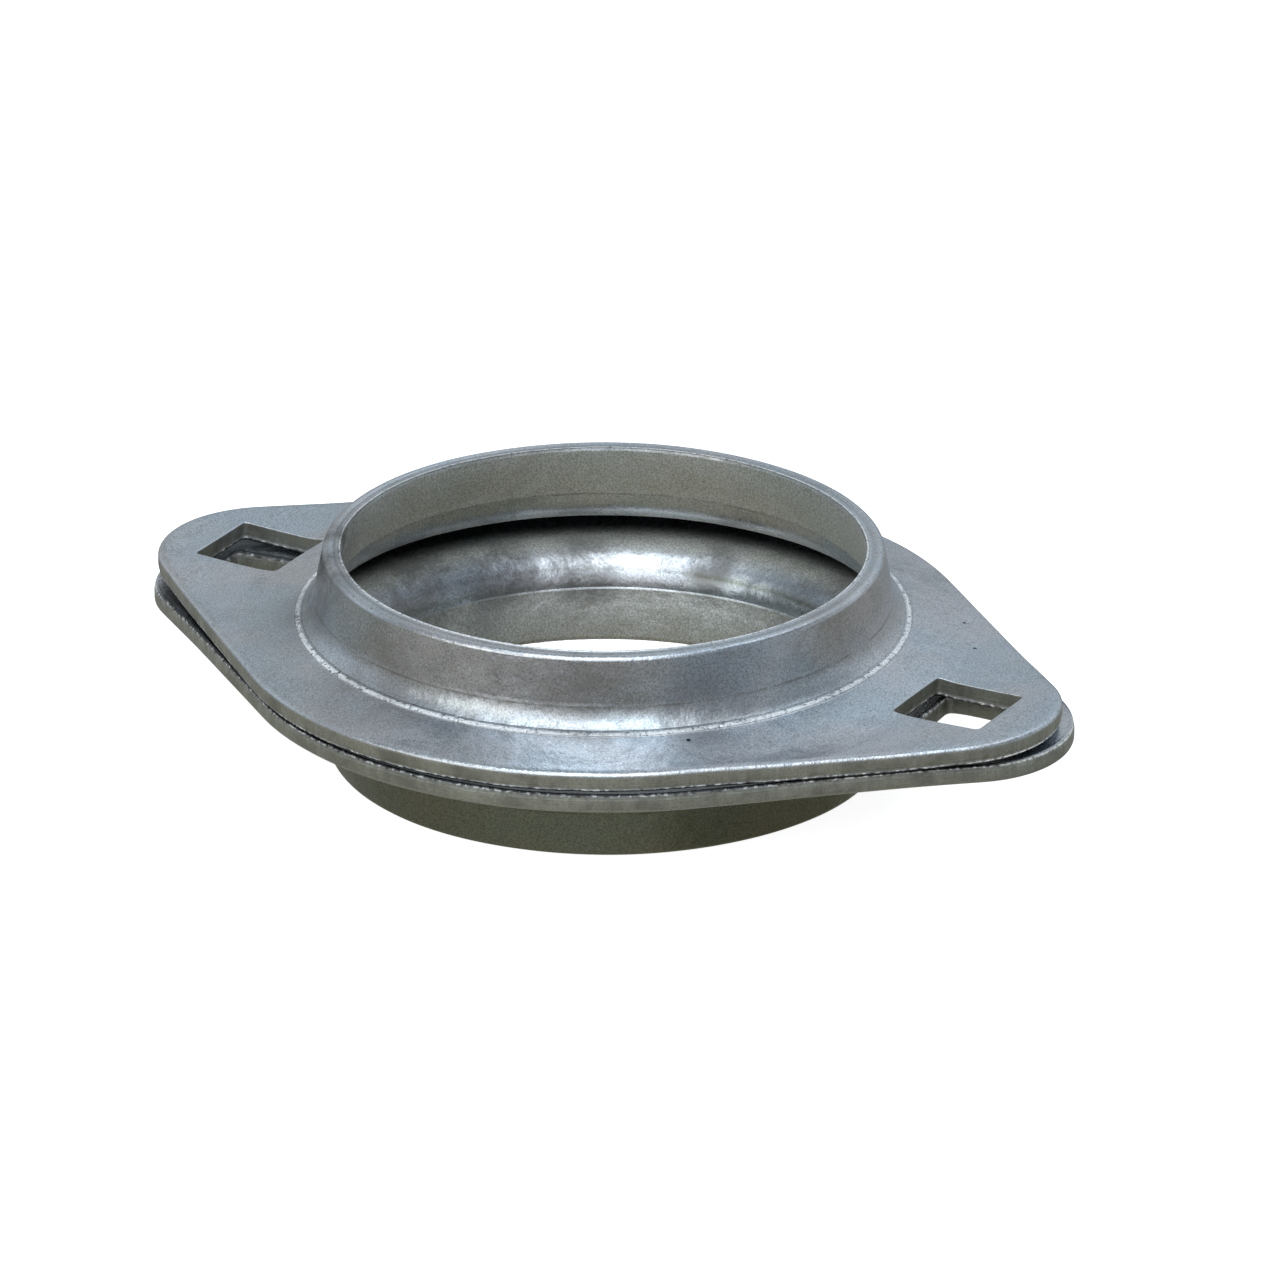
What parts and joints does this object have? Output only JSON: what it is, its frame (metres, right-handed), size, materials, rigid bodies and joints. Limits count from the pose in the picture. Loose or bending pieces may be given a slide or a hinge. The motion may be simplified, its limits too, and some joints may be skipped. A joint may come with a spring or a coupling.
{
  "type": "two-bolt pressed steel bearing housing",
  "caption": "Empty two-bolt flanged bearing housing: two equal pressed steel halves with collars and square bolt holes that clamp a spherical insert bearing.",
  "frame": {"origin": "on the shaft axis, half-way between the mating faces of the two halves", "axes": "+Z along the shaft axis, out of the upper collar; +X along the line of the two bolts; +Y across the bolts"},
  "size_m": [0.0954, 0.07, 0.0202],
  "materials": {
    "upper_zinc_plate": "satin clear zinc plate over pressed sheet steel, matt olive grey on the sheared edges",
    "lower_zinc_plate": "satin clear zinc plate over pressed sheet steel, a little duller than the upper half"
  },
  "bodies": {
    "lower_half": {"lower_flangette": "lower_zinc_plate"},
    "upper_half": {"upper_flangette": "upper_zinc_plate"}
  },
  "joints": [
    {"name": "lift_off", "type": "slide", "parent": "lower_half", "child": "upper_half", "axis": [0, 0, 1], "range_m": [0, 0.04]}
  ]
}
